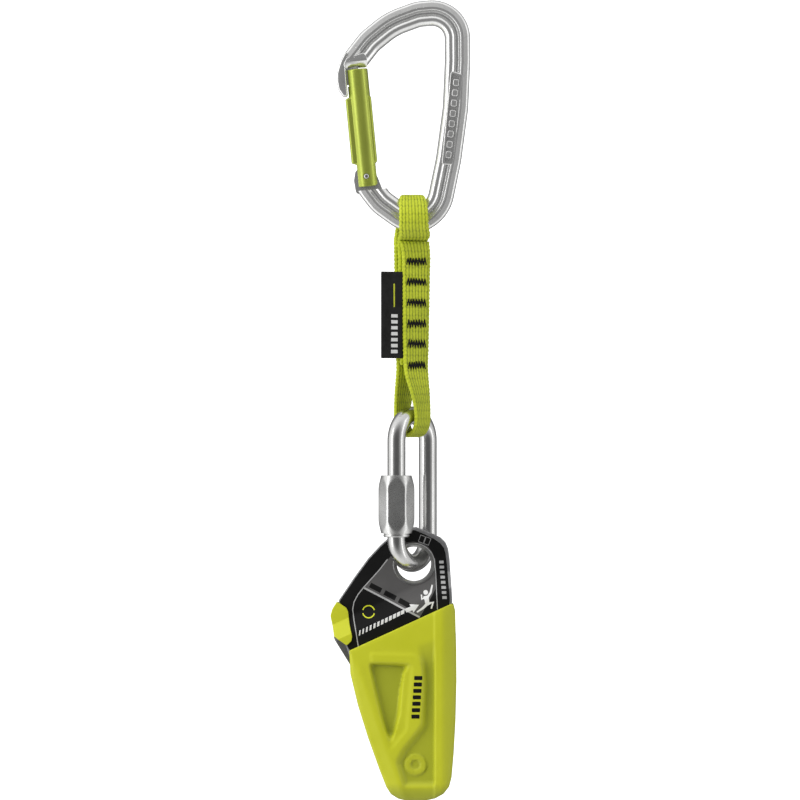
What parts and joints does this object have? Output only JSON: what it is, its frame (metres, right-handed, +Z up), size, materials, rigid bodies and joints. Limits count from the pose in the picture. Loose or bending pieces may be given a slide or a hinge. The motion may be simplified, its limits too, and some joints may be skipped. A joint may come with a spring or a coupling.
{
  "type": "assisted braking resistor",
  "caption": "Rope braking resistor for the first bolt: snap hook, sewn sling, screw link and a hinged two-plate brake with a V-shaped rope channel.",
  "frame": {"origin": "the point inside the top of the carabiner's bow where it hangs on a bolt hanger", "axes": "+Z up along the hanging load line, +X to the right seen from the front, +Y to the back, across the brake plates"},
  "size_m": [0.0602, 0.0283, 0.3438],
  "materials": {
    "aluminium_bare": "tumbled",
    "green_anodised": "anodised",
    "steel_bare": "satin",
    "green_webbing": "woven",
    "black_thread": "matte",
    "black_label": "woven",
    "polished_steel": "polished",
    "black_plate": "printed",
    "jaw_steel": "worn",
    "green_moulding": "satin"
  },
  "bodies": {
    "carabiner": {"carabiner_body": "aluminium_bare", "gate_rivet": "steel_bare"},
    "gate": {"carabiner_gate": "green_anodised", "gate_spring": "steel_bare"},
    "plunger": {"gate_plunger": "steel_bare"},
    "sling": {"sling_webbing": "green_webbing", "bartack_stitches": "black_thread", "label_tag": "black_label"},
    "link": {"link_body": "polished_steel"},
    "nut": {"link_nut": "polished_steel"},
    "back_half": {"back_plate": "black_plate", "back_cover": "green_moulding", "eyelet": "steel_bare", "back_jaw": "jaw_steel", "rope_guide": "jaw_steel", "back_cover_screws": "steel_bare", "back_jaw_rivets": "steel_bare", "back_spacer": "steel_bare", "latch_pin": "steel_bare"},
    "front_half": {"front_plate": "black_plate", "front_cover": "green_moulding", "front_jaw": "jaw_steel", "front_cover_rivets": "steel_bare", "front_jaw_rivets": "steel_bare", "front_spacer": "steel_bare"},
    "latch": {"latch_tab": "green_moulding", "latch_spring": "steel_bare"}
  },
  "joints": [
    {"name": "gate_hinge", "type": "hinge", "parent": "carabiner", "child": "gate", "pos_m": [-0.02644, 0, -0.06463], "axis": [0, 1, 0], "range_deg": [0, 27], "stiffness_Nm_per_rad": 0.06, "springref_deg": -20.05},
    {"name": "plunger_slide", "type": "slide", "parent": "gate", "child": "plunger", "axis": [-0.0971, 0, 0.9953], "range_m": [0, 0.001], "deforming": ["gate_spring"]},
    {"name": "sling_swing", "type": "hinge", "parent": "carabiner", "child": "sling", "pos_m": [-0.0068, 0, -0.0827], "axis": [1, 0, 0], "range_deg": [-30, 30]},
    {"name": "link_swing", "type": "hinge", "parent": "sling", "child": "link", "pos_m": [-0.0068, 0, -0.1673], "axis": [0.6136, 0.7896, 0], "range_deg": [-25, 25]},
    {"name": "nut_travel", "type": "slide", "parent": "link", "child": "nut", "axis": [0, 0, 1], "range_m": [0, 0.0085]},
    {"name": "device_swing", "type": "hinge", "parent": "link", "child": "back_half", "pos_m": [-0.00605, 0.0008, -0.23112], "axis": [0, 1, 0], "range_deg": [-40, 40]},
    {"name": "front_half_opening", "type": "hinge", "parent": "back_half", "child": "front_half", "pos_m": [-0.00605, 0.0008, -0.23112], "axis": [0, -1, 0], "range_deg": [0, 75]},
    {"name": "latch_pull", "type": "slide", "parent": "back_half", "child": "latch", "axis": [-1, 0, 0], "range_m": [0, 0.0022], "stiffness_N_per_m": 400, "springref_m": -0.001, "deforming": ["latch_spring"]}
  ],
  "couplings": [
    {"joint": "plunger_slide", "follows": "gate_hinge", "m_per_rad": 0.00212}
  ]
}
